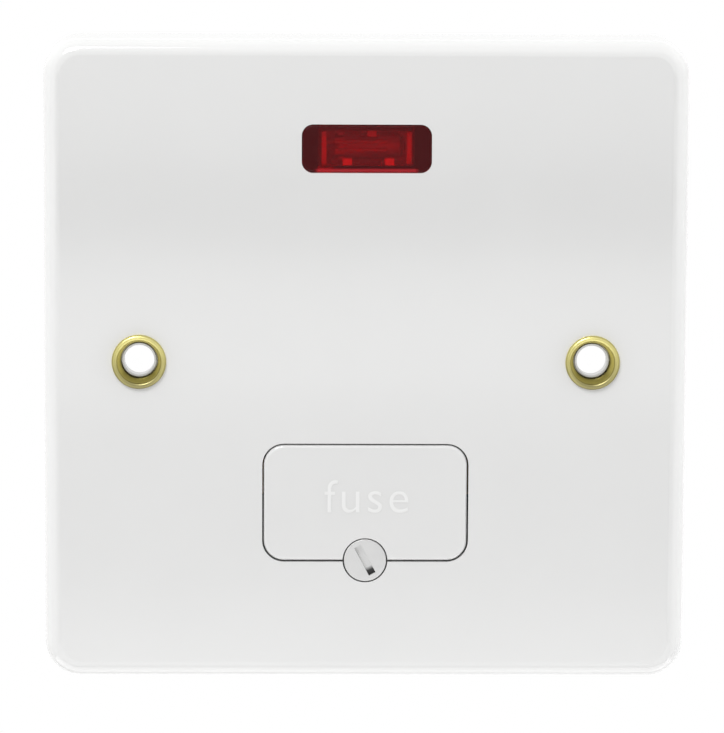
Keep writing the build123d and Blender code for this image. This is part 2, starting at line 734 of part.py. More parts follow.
# Rear housing: a slab with two deeper decks, a tower at each terminal and a well round each clamping screw
lower_deck_top = fuse_z + chamber_half_height + pocket_wall
upper_deck_low = tongue_bend_z - strip - seat_gap - pocket_wall
half_pair = pair_width / 2 + seat_gap
half_live = terminal_width / 2 + seat_gap
pocket_low_z = terminal_low_z - seat_gap
tower_low_z = pocket_low_z - pocket_wall
pocket_top_z = terminal_top_z + seat_gap
past_edge = housing_half_height + pocket_wall
entry_heights = (block_back, contact_front)
groove_half = lead_radius + loose_gap
groove_heights = (lead_height - groove_half, lens_seat)
with BuildPart() as rear_housing:
    width_span = (-housing_half_width, housing_half_width)
    height_span = (-housing_half_height, housing_half_height)
    prism(width_span, height_span, (slab_back, housing_front), corner=housing_corner)
    deck_heights = (deck_back, housing_front)
    tower_heights = (tower_back, housing_front)
    add(moulded(width_span, (-housing_half_height, lower_deck_top), deck_heights))
    add(moulded(width_span, (upper_deck_low, housing_half_height), deck_heights))
    for side in (-1, 1):
        inner = side * (live_terminal_x - half_live - pocket_wall)
        outer = side * housing_half_width
        add(moulded(sorted((inner, outer)), (-housing_half_height, -tower_low_z), tower_heights))
        inner = side * (pair_terminal_x - half_pair - well_wall)
        add(moulded(sorted((inner, outer)), (tower_low_z, housing_half_height), tower_heights))
    for x, z in screw_places.values():
        well_radius = clamp_head_radius + loose_gap + well_wall
        well_outline = [
            (0, tower_back),
            (well_radius, tower_back),
            (well_radius, well_back + well_edge),
            (well_radius - well_edge, well_back),
            (0, well_back),
        ]
        turned(x, z, well_outline)
    disc(0, screw_z, insert_radius + pocket_wall, (insert_front - insert_length - well_wall, deck_back))
    extrude(lens_outline(housing_front, lens_flange), amount=lens_seat - lens_flange_depth - housing_front)
    # Fuse chamber, the well of the drawer's screw and the hole of its nut
    chamber_span = (-chamber_half_width, chamber_half_width)
    chamber_z = (fuse_z - chamber_half_height, fuse_z + chamber_half_height)
    prism(chamber_span, chamber_z, (block_front, housing_front), mode=Mode.SUBTRACT)
    disc(0, screw_z, head_radius + head_gap, (insert_front, housing_front), mode=Mode.SUBTRACT)
    disc(0, screw_z, insert_radius, (insert_front - insert_length, insert_front), mode=Mode.SUBTRACT)
    # Live terminals: each a bay open at the lower edge, and a channel for its clip's foot
    for side in (-1, 1):
        live_x = side * live_terminal_x
        bay_span = (live_x - half_live, live_x + half_live)
        prism(bay_span, (-pocket_top_z, -pocket_low_z), (block_back, housing_front), mode=Mode.SUBTRACT)
        prism(bay_span, (-past_edge, -pocket_low_z), entry_heights, mode=Mode.SUBTRACT)
        channel_end = live_terminal_x + clip_run_width / 2 + seat_gap
        channel_span = sorted((side * (chamber_half_width - seat_gap), side * channel_end))
        channel_top = fuse_z + clip_run_width / 2 + seat_gap
        channel_low = fuse_z - clip_run_width / 2 - seat_gap
        prism(channel_span, (channel_low, channel_top), (block_front, housing_front), mode=Mode.SUBTRACT)
        foot_half = clip_run_width / 2 + seat_gap
        foot_span = (live_x - foot_half, live_x + foot_half)
        prism(foot_span, (-pocket_top_z, channel_top), (block_front, housing_front), mode=Mode.SUBTRACT)
    # Earth and neutral terminals: wide bays open at the upper edge, and a channel for the earth tongue
    for side in (-1, 1):
        pair_x = side * pair_terminal_x
        bay_span = (pair_x - half_pair, pair_x + half_pair)
        prism(bay_span, (pocket_low_z, pocket_top_z), (block_back, housing_front), mode=Mode.SUBTRACT)
        prism(bay_span, (pocket_low_z, past_edge), entry_heights, mode=Mode.SUBTRACT)
    tongue_half = tongue_width / 2 + seat_gap
    tongue_low = tongue_bend_z - strip - seat_gap
    tongue_span = (tongue_x - tongue_half, tongue_x + tongue_half)
    prism(tongue_span, (tongue_low, terminal_mid_z), (block_front, housing_front), mode=Mode.SUBTRACT)
    # Lamp pocket, and the grooves for the lamp's leads and resistor
    lamp_half = lamp_radius + holder_wall + seat_gap
    lamp_span = (-lamp_pocket_half_width, lamp_pocket_half_width)
    lamp_z = (lens_z - lamp_half, lens_z + lamp_half)
    prism(lamp_span, lamp_z, (lamp_pocket_floor, lens_seat), mode=Mode.SUBTRACT)
    exit_span = (live_lead_x - groove_half, neutral_lead_x + groove_half)
    prism(exit_span, (neutral_lead_z - groove_half, lens_z), groove_heights, mode=Mode.SUBTRACT)
    live_span = (live_lead_x - groove_half, live_lead_x + groove_half)
    live_z = (live_lead_turn_z - groove_half, lens_z)
    prism(live_span, live_z, groove_heights, mode=Mode.SUBTRACT)
    turn_span = (live_lead_end_x - groove_half, live_lead_x + groove_half)
    turn_z = (live_lead_turn_z - groove_half, live_lead_turn_z + groove_half)
    prism(turn_span, turn_z, groove_heights, mode=Mode.SUBTRACT)
    end_span = (live_lead_end_x - groove_half, live_lead_end_x + groove_half)
    prism(end_span, (fuse_z, live_lead_turn_z), groove_heights, mode=Mode.SUBTRACT)
    neutral_span = (neutral_lead_x - groove_half, neutral_lead_end_x + groove_half)
    neutral_z = (neutral_lead_z - groove_half, neutral_lead_z + groove_half)
    prism(neutral_span, neutral_z, groove_heights, mode=Mode.SUBTRACT)
    drop_span = (neutral_lead_end_x - groove_half, neutral_lead_end_x + groove_half)
    drop_low = min(neutral_lead_z, neutral_lead_end_z - groove_half)
    prism(drop_span, (drop_low, terminal_mid_z), (block_front, lens_seat), mode=Mode.SUBTRACT)
    barrel_half = resistor_radius + seat_gap
    barrel_span = (live_lead_x - barrel_half, live_lead_x + barrel_half)
    barrel_z = (resistor_low_z - seat_gap, resistor_top_z + seat_gap)
    prism(barrel_span, barrel_z, (lead_height - barrel_half, lens_seat), mode=Mode.SUBTRACT)
    # Screw holes
    for x, z in screw_places.values():
        disc(x, z, clamp_head_radius + loose_gap, (well_back, block_back), mode=Mode.SUBTRACT)
    for x, z in post_places:
        disc(x, z, tapping_radius + seat_gap, (slab_back, housing_front), mode=Mode.SUBTRACT)
save(rear_housing, "rear_housing")

# Self-tapping screws that hold the housing to the plate
with BuildPart() as housing_screws:
    for x, z in post_places:
        disc(x, z, tapping_radius, (slab_back, slab_back + slab_thickness + tapping_reach))
        head_outline = [
            (0, slab_back),
            (tapping_head_radius, slab_back),
            (tapping_head_radius, slab_back - tapping_head_height / 2),
            (tapping_head_top, slab_back - tapping_head_height),
            (0, slab_back - tapping_head_height),
        ]
        turned(x, z, head_outline)
        prism(
            (x - clamp_slot_width / 2, x + clamp_slot_width / 2),
            (z - tapping_head_radius, z + tapping_head_radius),
            (slab_back - tapping_head_height, slab_back - tapping_head_height + clamp_slot_depth),
            mode=Mode.SUBTRACT,
        )
save(housing_screws, "housing_screws")
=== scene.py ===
import math

import bmesh
import bpy
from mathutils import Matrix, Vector


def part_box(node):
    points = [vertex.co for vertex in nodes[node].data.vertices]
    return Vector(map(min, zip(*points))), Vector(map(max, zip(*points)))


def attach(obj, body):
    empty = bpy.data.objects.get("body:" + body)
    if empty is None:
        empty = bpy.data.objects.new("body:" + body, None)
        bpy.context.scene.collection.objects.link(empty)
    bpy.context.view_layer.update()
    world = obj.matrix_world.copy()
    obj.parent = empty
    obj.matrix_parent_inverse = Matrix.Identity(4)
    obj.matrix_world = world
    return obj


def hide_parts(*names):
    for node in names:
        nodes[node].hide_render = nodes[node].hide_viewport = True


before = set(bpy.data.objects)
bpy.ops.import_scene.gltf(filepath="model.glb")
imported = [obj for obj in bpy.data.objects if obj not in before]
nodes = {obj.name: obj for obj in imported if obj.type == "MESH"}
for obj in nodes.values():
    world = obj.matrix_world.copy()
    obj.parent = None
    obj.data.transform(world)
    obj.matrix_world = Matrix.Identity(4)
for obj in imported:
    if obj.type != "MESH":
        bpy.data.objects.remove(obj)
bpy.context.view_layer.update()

# The fused spur unit dressed for its photograph: materials on every CAD node, a cut thread on the drawer's
# screw, the raised word and terminal marks, soft studio light on white, and the photograph's camera.
# Lengths are in metres.

scene = bpy.context.scene

MICRON = 0.000001
WHITE = (1, 1, 1, 1)

# Photograph: its width in pixels, and the camera that fits the plate's outline, eyelets, lens and drawer
PHOTO_WIDTH = 724
FOCAL_PIXELS = 4822.3
SENSOR_WIDTH = 36.0
CAMERA_DISTANCE = 0.65
CAMERA_AZIMUTH = math.radians(-1.10)
CAMERA_ELEVATION = math.radians(7.72)
CAMERA_ROLL = math.radians(0.267)
CAMERA_TARGET = Vector((-0.00035, 0.0, -0.0018))

# Light: the level of the white surroundings where they are seen and as soft light, and the lamps (place,
# size, watts)
BACKGROUND_LEVEL = 1.0
FILL_LEVEL = 0.489
LAMPS = {
    "lamp_key": ((-0.30, -0.62, 0.75), (0.42, 0.42), 5.2),
    "lamp_above": ((0.0, -0.04, 0.70), (0.9, 0.4), 1.2),
    "lamp_left": ((-0.70, -0.04, 0.05), (0.4, 0.9), 2.2),
    "lamp_right": ((0.70, -0.04, 0.05), (0.4, 0.9), 3.6),
    "lamp_below": ((0.0, -0.04, -0.28), (0.6, 0.2), 0.48),
}

# Floor: its height, its half width, and the distance from its middle at which it starts to fade out
FLOOR_Z = -0.30
FLOOR_HALF = 0.7
FLOOR_SOLID = 0.15

# Reflector: a card in front of the plate that only gloss sees. Its bands (height, brightness) lie across the
# face as soft reflections, and towards its sides it has one even level.
CARD_Y = -0.85
CARD_HALF_WIDTH = 0.9
CARD_BANDS = (
    (-0.90, 1.7),
    (-0.42, 1.7),
    (-0.30, 1.6),
    (-0.250, 1.1),
    (-0.174, 0.65),
    (-0.136, 0.8),
    (-0.122, 1.15),
    (-0.089, 1.05),
    (-0.053, 0.35),
    (-0.039, 0.05),
    (-0.011, 0.35),
    (0.024, 0.6),
    (0.070, 0.85),
    (0.12, 1.05),
    (0.25, 1.1),
    (0.90, 1.1),
)
CARD_SIDE_LEVEL = 1.05
CARD_SIDE_START = 0.18
CARD_SIDE_END = 0.75

# Flags: grey panels above, below and beside the part, which only gloss sees, so that metal has dark edges
FLAG_REACH = 0.6
FLAG_FRONT = -0.33
FLAG_BACK = 0.45
FLAG_LEVEL = 0.6

# Grain of every material: how much finer its bump is than its colour, and the detail of both noises
FINE_GRAIN = 9
BROAD_DETAIL = 3.0
FINE_DETAIL = 2.0

# Lens and lamp glass: how they bend light, how clear the lens is, and a less clear strip along its lower
# edge
# that shows lighter, a painted highlight: its height above the flange, its half length, and where it has
# faded out
LENS_IOR = 1.25
GLASS_IOR = 1.47
LENS_CLEAR = 0.937
LENS_HIGHLIGHT_CLEAR = 0.62
LENS_FLANGE = 0.0011
LENS_STRIP = 0.0004
LENS_STRIP_END = 0.0006
LENS_STRIP_HALF = 0.0064
LENS_STRIP_FADE = 0.0070

# Painted shade: where it starts and is full, and its tone. On the eyelets it is painted shade and painted
# dark reflection, behind the rim and below the middle, and thinly on the lower rim. Behind the drawer
# screw's head face a painted light brightens the slot's floor, and the shank behind it is lighter zinc; a
# painted shadow lies at the slot's lower end.
EYELET_SHADE_DEPTH = (0.0002, 0.0006)
EYELET_SHADE_DROP = (0.0004, 0.0018)
EYELET_RIM_DROP = (-0.0012, 0.0034)
EYELET_SHADE_TONE = (0.25, 0.225, 0.105)
SLOT_ANGLE = math.radians(28.0)
SLOT_DEPTH = (0.0002, 0.0006)
SLOT_LIGHT_AND_SHANK_TONE = (0.73, 0.73, 0.725)
SLOT_SHADOW_RUN = (0.0011, 0.0016)
SLOT_SHADOW_TONE = (0.09, 0.09, 0.09)

# Lamp holder: where its end uprights, the bay beside the lamp, its depths and its upper and lower rims start
# and are full, from its middle and its front, and the tones of painted shade on the nylon there
HOLDER_UPRIGHT = (0.0050, 0.0053)
HOLDER_BAY = (-0.0034, -0.0038)
HOLDER_DEPTH = (0.0012, 0.0018)
HOLDER_RIM = (0.0012, 0.0017)
HOLDER_UPRIGHT_SHADE = (0.36, 0.34, 0.30)
HOLDER_TOP_SHADE = (0.24, 0.22, 0.19)
HOLDER_DEPTH_SHADE = (0.05, 0.045, 0.04)

# Thread of the drawer's screw: the length of its plain CAD cylinder, and the cut thread that stands for it,
# with spare rows of points so that all of it reaches the end
THREAD_LENGTH = 0.0053
THREAD_CLEAR = 0.00002
THREAD_PITCH = 0.0006
THREAD_CREST = 0.00175
THREAD_ROOT = 0.00145
THREAD_PROFILE = (0.0, 0.85, 1.0, 0.15)
THREAD_RUNOUT = 0.0006
THREAD_POINT = 0.0003
THREAD_STEPS = 36
THREAD_SPARE_ROWS = 2
WELD_DISTANCE = 0.1 * MICRON
SHARP_ANGLE = math.radians(32.0)

# Raised word on the drawer, and the radius of the crowned face that it follows
WORD = "fuse"
WORD_LEFT = -0.00543
WORD_RIGHT = 0.00574
WORD_TOP = -0.0159
WORD_BASE = -0.0203
WORD_PROUD = 0.00006
WORD_SUNK = 0.00015
CROWN_RADIUS = 1.156

# Letters of the word and the marks, as shares of the font's size
LETTER_SPACING = 1.12
LETTER_THINNING = -0.012
LETTER_DEPTH = 0.5
LETTER_BEVEL = 0.004

# Raised terminal marks on the housing's back: the back face of its decks, and each mark's place
DECK_BACK = 0.0076
MARK_HEIGHT = 0.0027
MARK_PROUD = 0.00012
MARK_SUNK = 0.0001
MARKS = {
    "mark_feed": ("L in", 0.0185, -0.0158),
    "mark_load": ("L out", -0.0185, -0.0158),
    "mark_neutral": ("N", 0.0151, 0.0172),
}
EARTH_MARK_X = -0.0151
EARTH_MARK_Z = 0.0172
EARTH_BARS = (
    ((-0.00015, 0.00015), (0.0002, 0.0015)),
    ((-0.0014, 0.0014), (-0.0001, 0.0002)),
    ((-0.0009, 0.0009), (-0.0008, -0.0005)),
    ((-0.0004, 0.0004), (-0.0015, -0.0012)),
)
BAR_DRAFT = 0.00004


def add_node(tree, kind, **values):
    """A shader node with its input sockets set by name."""
    node = tree.nodes.new(kind)
    for key, value in values.items():
        node.inputs[key].default_value = value
    return node


def ramp(tree, value, start, end, low=0.0, high=1.0, smooth=False):
    """A value that runs from low to high while another runs from start to end."""
    limits = {"From Min": start, "From Max": end, "To Min": low, "To Max": high}
    node = add_node(tree, "ShaderNodeMapRange", **limits)
    if smooth:
        node.interpolation_type = "SMOOTHSTEP"
    tree.links.new(value, node.inputs["Value"])
    return node.outputs["Result"]


def combine(tree, operation, *values):
    """The result of a math operation on one or two values, each a float or a socket."""
    node = tree.nodes.new("ShaderNodeMath")
    node.operation = operation
    for place, value in enumerate(values):
        if isinstance(value, float):
            node.inputs[place].default_value = value
        else:
            tree.links.new(value, node.inputs[place])
    return node.outputs["Value"]


def coordinates(tree):
    """The X, Y and Z of each point of a surface, in the object's own frame."""
    place = tree.nodes.new("ShaderNodeTexCoord")
    split = tree.nodes.new("ShaderNodeSeparateXYZ")
    tree.links.new(place.outputs["Object"], split.inputs["Vector"])
    return split.outputs["X"], split.outputs["Y"], split.outputs["Z"]


def surface(name, light, dark, rough, grain, bump, stretch=(1, 1, 1), **sockets):
    """A material whose colour and roughness wander between two values, with a fine bump over them.

    light and dark are the two colours, rough the two roughness values, grain the number of noise cells in
    a metre, bump the height of the fine bump in metres, stretch the grain's share along each axis, and
    sockets more values of the shader's own."""
    material = bpy.data.materials.new(name)
    material.use_nodes = True
    tree = material.node_tree
    shader = tree.nodes["Principled BSDF"]
    for socket, value in sockets.items():
        shader.inputs[socket.replace("_", " ")].default_value = value
    place = tree.nodes.new("ShaderNodeTexCoord")
    mapping = add_node(tree, "ShaderNodeMapping", Scale=stretch)
    tree.links.new(place.outputs["Object"], mapping.inputs["Vector"])
    broad = add_node(tree, "ShaderNodeTexNoise", Scale=grain, Detail=BROAD_DETAIL)
    fine = add_node(tree, "ShaderNodeTexNoise", Scale=grain * FINE_GRAIN, Detail=FINE_DETAIL)
    for noise in (broad, fine):
        tree.links.new(mapping.outputs["Vector"], noise.inputs["Vector"])
    colour = tree.nodes.new("ShaderNodeMix")
    colour.data_type = "RGBA"
    colour.inputs["A"].default_value = (*dark, 1)
    colour.inputs["B"].default_value = (*light, 1)
    tree.links.new(broad.outputs["Fac"], colour.inputs["Factor"])
    tree.links.new(colour.outputs["Result"], shader.inputs["Base Color"])
    gloss = ramp(tree, broad.outputs["Fac"], 0.0, 1.0, *rough)
    tree.links.new(gloss, shader.inputs["Roughness"])
    relief = add_node(tree, "ShaderNodeBump", Strength=1.0, Distance=bump)
    tree.links.new(fine.outputs["Fac"], relief.inputs["Height"])
    tree.links.new(relief.outputs["Normal"], shader.inputs["Normal"])
    return material


def stain(material, mask, tone):
    """Lays a second tone over a material's colour where the mask is 1."""
    tree = material.node_tree
    target = tree.nodes["Principled BSDF"].inputs["Base Color"]
    blend = tree.nodes.new("ShaderNodeMix")
    blend.data_type = "RGBA"
    blend.inputs["B"].default_value = (*tone, 1)
    tree.links.new(target.links[0].from_socket, blend.inputs["A"])
    tree.links.new(mask, blend.inputs["Factor"])
    tree.links.new(blend.outputs["Result"], target)


def dress(material, *names):
    """Puts a material on CAD nodes."""
    for name in names:
        for place in nodes[name].material_slots:
            place.material = material


def shade_eyelets(material):
    """Painted shade and painted dark reflection in the lower part of the eyelets' mouths, and thinly on
    their lower rims.
    """
    tree = material.node_tree
    _, y, z = coordinates(tree)
    rim_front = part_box("eyelet_left")[0][1]
    inside = ramp(tree, y, rim_front + EYELET_SHADE_DEPTH[0], rim_front + EYELET_SHADE_DEPTH[1])
    below = ramp(tree, z, -EYELET_SHADE_DROP[0], -EYELET_SHADE_DROP[1])
    lower_rim = ramp(tree, z, -EYELET_RIM_DROP[0], -EYELET_RIM_DROP[1])
    lower_shade = combine(tree, "MAXIMUM", combine(tree, "MULTIPLY", inside, below), lower_rim)
    # painted shade and dark reflection: darker towards the bottom of each eyelet's mouth and on its lower
    # rim
    stain(material, lower_shade, EYELET_SHADE_TONE)


def paint_slot_light_and_shadow(material):
    """Painted light in the drawer screw's slot, and a lighter shank behind it, with a painted shadow at the
    slot's lower end.
    """
    tree = material.node_tree
    x, y, z = coordinates(tree)
    across = combine(tree, "MULTIPLY", x, math.sin(SLOT_ANGLE))
    down = combine(tree, "MULTIPLY", combine(tree, "SUBTRACT", screw_z, z), math.cos(SLOT_ANGLE))
    along = combine(tree, "ADD", across, down)
    inside = ramp(tree, y, screw_low[1] + SLOT_DEPTH[0], screw_low[1] + SLOT_DEPTH[1])
    # painted light: the slot's floor is lighter, and so is the shank behind the head
    stain(material, inside, SLOT_LIGHT_AND_SHANK_TONE)
    slot_end = combine(tree, "MULTIPLY", inside, ramp(tree, along, *SLOT_SHADOW_RUN))
    # painted shadow at the slot's lower end
    stain(material, slot_end, SLOT_SHADOW_TONE)


def paint_lens_highlight(material):
    """A less clear strip along the lens's lower edge, which shows lighter: a painted highlight."""
    tree = material.node_tree
    x, _, z = coordinates(tree)
    lens_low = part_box("neon_lens")[0][2] + LENS_FLANGE
    low = ramp(tree, z, lens_low + LENS_STRIP_END, lens_low + LENS_STRIP)
    middle = ramp(tree, combine(tree, "ABSOLUTE", x), LENS_STRIP_FADE, LENS_STRIP_HALF)
    clear = ramp(tree, combine(tree, "MULTIPLY", low, middle), 0.0, 1.0, LENS_CLEAR, LENS_HIGHLIGHT_CLEAR)
    # painted highlight: the strip along the lower edge is less clear, so it shows lighter
    tree.links.new(clear, tree.nodes["Principled BSDF"].inputs["Transmission Weight"])


def shade_holder(material):
    """Painted shade on the nylon: least at the clip fingers, more at the uprights and the top, and most in
    the depths.
    """
    tree = material.node_tree
    x, y, z = coordinates(tree)
    holder_low, holder_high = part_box("lamp_holder")
    height = combine(tree, "SUBTRACT", z, (holder_low[2] + holder_high[2]) / 2)
    # painted shade: darker uprights and top
    stain(material, ramp(tree, combine(tree, "ABSOLUTE", x), *HOLDER_UPRIGHT), HOLDER_UPRIGHT_SHADE)
    stain(material, ramp(tree, height, *HOLDER_RIM), HOLDER_TOP_SHADE)
    deep = ramp(tree, y, holder_low[1] + HOLDER_DEPTH[0], holder_low[1] + HOLDER_DEPTH[1])
    rims = ramp(tree, combine(tree, "ABSOLUTE", height), *HOLDER_RIM)
    dark_places = combine(tree, "MAXIMUM", rims, ramp(tree, x, *HOLDER_BAY))
    # painted shade, darkest in the depths
    stain(material, combine(tree, "MULTIPLY", deep, dark_places), HOLDER_DEPTH_SHADE)


# The drawer's screw, on its axis along Y, and where its plain CAD end begins
screw_low, screw_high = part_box("carrier_screw")
screw_x = (screw_low[0] + screw_high[0]) / 2
screw_z = (screw_low[2] + screw_high[2]) / 2
plain_start = screw_high[1] - THREAD_LENGTH

white = surface(
    "glossy_white_moulding", (0.80, 0.80, 0.795), (0.775, 0.775, 0.77), (0.05, 0.08), 90, 0.1 * MICRON,
    Specular_IOR_Level=1.0,
)
dress(white, "front_plate", "fuse_carrier")

brass = surface(
    "polished_brass", (0.71, 0.645, 0.265), (0.62, 0.56, 0.205), (0.26, 0.36), 700, 2 * MICRON, Metallic=1.0,
    Specular_Tint=(0.76, 0.68, 0.36, 1.0),
)
# painted shade and dark reflection in the eyelets' lower mouths and rims
shade_eyelets(brass)
dress(brass, "eyelet_left", "eyelet_right")

plated = surface(
    "plated_strip", (0.72, 0.72, 0.70), (0.58, 0.58, 0.57), (0.24, 0.38), 500, 3 * MICRON, (1, 1, 6),
    Metallic=1.0,
)
dress(plated, "earth_strap")

screw_steel = surface(
    "bright_zinc", (0.71, 0.71, 0.705), (0.64, 0.64, 0.635), (0.18, 0.26), 900, 3 * MICRON, Metallic=1.0,
)
dress(
    screw_steel, "captive_washer", "housing_screws", "feed_live_screw", "load_live_screw",
    "earth_left_screw", "earth_right_screw", "neutral_left_screw", "neutral_right_screw",
)

drawer_zinc = surface(
    "drawer_screw_zinc", (0.61, 0.61, 0.606), (0.58, 0.58, 0.576), (0.46, 0.54), 900, 3 * MICRON,
    Metallic=1.0,
)
# painted light in the slot, and a painted shadow at its lower end
paint_slot_light_and_shadow(drawer_zinc)
dress(drawer_zinc, "carrier_screw")

terminal_brass = surface(
    "machined_brass", (0.72, 0.52, 0.20), (0.56, 0.38, 0.13), (0.22, 0.36), 600, 4 * MICRON, (1, 8, 1),
    Metallic=1.0,
)
dress(
    terminal_brass, "feed_live_terminal", "load_live_terminal", "earth_terminal", "neutral_terminal",
    "threaded_insert",
)

bronze = surface(
    "spring_bronze", (0.74, 0.46, 0.26), (0.58, 0.34, 0.18), (0.22, 0.34), 500, 3 * MICRON, Metallic=1.0,
)
dress(bronze, "feed_contact_clip", "load_contact_clip")

housing = surface(
    "dark_moulding", (0.060, 0.062, 0.066), (0.042, 0.043, 0.046), (0.34, 0.48), 400, 12 * MICRON,
)
dress(housing, "rear_housing")

red = surface(
    "clear_red_lens", (0.92, 0.035, 0.050), (0.86, 0.025, 0.040), (0.20, 0.26), 120, 0.5 * MICRON,
    Transmission_Weight=LENS_CLEAR, IOR=LENS_IOR,
)
# painted highlight along the lens's lower edge
paint_lens_highlight(red)
dress(red, "neon_lens")

nylon = surface(
    "natural_nylon", (0.64, 0.61, 0.55), (0.56, 0.53, 0.47), (0.36, 0.5), 500, 6 * MICRON,
)
# painted shade on the lamp holder
shade_holder(nylon)
dress(nylon, "lamp_holder")

glass = surface(
    "lamp_glass", (0.96, 0.96, 0.95), (0.92, 0.92, 0.90), (0.01, 0.04), 300, 1 * MICRON,
    Transmission_Weight=1.0, IOR=GLASS_IOR,
)
dress(glass, "neon_glass")

nickel = surface(
    "nickel", (0.74, 0.72, 0.68), (0.62, 0.60, 0.56), (0.16, 0.28), 800, 2 * MICRON, Metallic=1.0,
)
dress(nickel, "fuse_end_cap_left", "fuse_end_cap_right")

dull_nickel = surface(
    "dull_nickel", (0.30, 0.29, 0.27), (0.22, 0.21, 0.20), (0.35, 0.5), 800, 2 * MICRON, Metallic=1.0,
)
dress(dull_nickel, "neon_electrodes")

ceramic = surface(
    "fuse_ceramic", (0.80, 0.77, 0.70), (0.74, 0.71, 0.64), (0.30, 0.45), 700, 5 * MICRON,
)
dress(ceramic, "fuse_tube")

lacquer = surface(
    "resistor_lacquer", (0.62, 0.44, 0.24), (0.52, 0.36, 0.18), (0.28, 0.4), 900, 6 * MICRON,
)
dress(lacquer, "dropper_resistor")

sleeve = surface(
    "dark_sleeving", (0.050, 0.046, 0.042), (0.034, 0.031, 0.028), (0.45, 0.6), 900, 8 * MICRON,
)
dress(sleeve, "neon_lead_live", "neon_lead_load", "neon_lead_neutral")


def add_piece(name, mesh, material, body):
    """A new piece of the object, with its material and the body that carries it."""
    piece = bpy.data.objects.new(name, mesh)
    scene.collection.objects.link(piece)
    mesh.materials.append(material)
    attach(piece, body)
    return piece


def corners(left, right, low, high):
    """The corners of a rectangle, in order round it."""
    return [(left, low), (right, low), (right, high), (left, high)]


def side_faces(first):
    """The four faces between a ring of four points and the next ring of four."""
    return [[first + i, first + (i + 1) % 4, first + 4 + (i + 1) % 4, first + 4 + i] for i in range(4)]


def screw_point(form, reach, turn, y):
    """A new point of a mesh, at a distance and a share of a turn round the drawer screw's axis."""
    angle = 2 * math.pi * turn
    return form.verts.new((screw_x + reach * math.cos(angle), y, screw_z + reach * math.sin(angle)))


def cut_thread(form):
    """Adds a thread with a chamfered end to the drawer screw's mesh."""
    thread_start = plain_start + THREAD_CLEAR
    thread_run = screw_high[1] - THREAD_POINT - thread_start
    per_pitch = len(THREAD_PROFILE)
    last_row = math.ceil(thread_run / THREAD_PITCH * per_pitch) + per_pitch + THREAD_SPARE_ROWS
    rows = []
    for row in range(last_row + 1):
        ring = []
        for step in range(THREAD_STEPS):
            turn = step / THREAD_STEPS
            run = THREAD_PITCH * (row / per_pitch + turn - 1)
            run = min(max(run, 0.0), thread_run)
            fade = min(1.0, run / THREAD_RUNOUT, (thread_run - run) / THREAD_RUNOUT)
            height = (THREAD_CREST - THREAD_ROOT) * THREAD_PROFILE[row % per_pitch] * fade
            ring.append(screw_point(form, THREAD_ROOT + height, turn, thread_start + run))
        rows.append(ring)
    for row in range(last_row):
        near, far = rows[row], rows[row + 1]
        for step in range(THREAD_STEPS - 1):
            form.faces.new((near[step], near[step + 1], far[step + 1], far[step]))
        # After a full turn the thread has risen by one pitch
        if row + per_pitch < last_row:
            next_near, next_far = rows[row + per_pitch], rows[row + per_pitch + 1]
            form.faces.new((near[-1], next_near[0], next_far[0], far[-1]))
    end = []
    for step in range(THREAD_STEPS):
        end.append(screw_point(form, THREAD_ROOT - THREAD_POINT, step / THREAD_STEPS, screw_high[1]))
    for step in range(THREAD_STEPS):
        after = (step + 1) % THREAD_STEPS
        form.faces.new((rows[-1][step], rows[-1][after], end[after], end[step]))
    form.faces.new(end)
    form.faces.new(rows[0])


def threaded_screw_mesh():
    """The drawer screw's CAD mesh with a cut thread in place of the plain cylinder at its end."""
    form = bmesh.new()
    form.from_mesh(nodes["carrier_screw"].data)
    plain_end = [face for face in form.faces if min(v.co.y for v in face.verts) > plain_start - MICRON]
    bmesh.ops.delete(form, geom=plain_end, context="FACES")
    # The neck goes on into the thread
    for vertex in form.verts:
        if vertex.co.y > plain_start - MICRON:
            vertex.co.y += THREAD_RUNOUT
    cut_thread(form)
    bmesh.ops.remove_doubles(form, verts=form.verts, dist=WELD_DISTANCE)
    bmesh.ops.recalc_face_normals(form, faces=form.faces)
    for face in form.faces:
        face.smooth = True
    mesh = bpy.data.meshes.new("threaded_screw")
    form.to_mesh(mesh)
    form.free()
    # The stored normals of the copied faces don't fit the new mesh
    stored_normals = mesh.attributes.get("custom_normal")
    if stored_normals:
        mesh.attributes.remove(stored_normals)
    mesh.set_sharp_from_angle(angle=SHARP_ANGLE)
    return mesh


threaded_mesh = threaded_screw_mesh()
threaded_screw = add_piece("threaded_screw", threaded_mesh, drawer_zinc, "drawer_screw")
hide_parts("carrier_screw")


def letter_mesh(words):
    """Raised letters as a mesh that runs from 0 to 1 along each axis, and their real width / height."""
    curve = bpy.data.curves.new("letters", "FONT")
    curve.body = words
    curve.space_character = LETTER_SPACING
    curve.offset = LETTER_THINNING
    curve.extrude = LETTER_DEPTH
    curve.bevel_depth = LETTER_BEVEL
    text = bpy.data.objects.new("letters", curve)
    scene.collection.objects.link(text)
    mesh = bpy.data.meshes.new_from_object(text)
    bpy.data.objects.remove(text)
    low = [min(v.co[i] for v in mesh.vertices) for i in range(3)]
    size = [max(v.co[i] for v in mesh.vertices) - low[i] for i in range(3)]
    for vertex in mesh.vertices:
        vertex.co = [(vertex.co[i] - low[i]) / size[i] for i in range(3)]
    return mesh, size[0] / size[1]


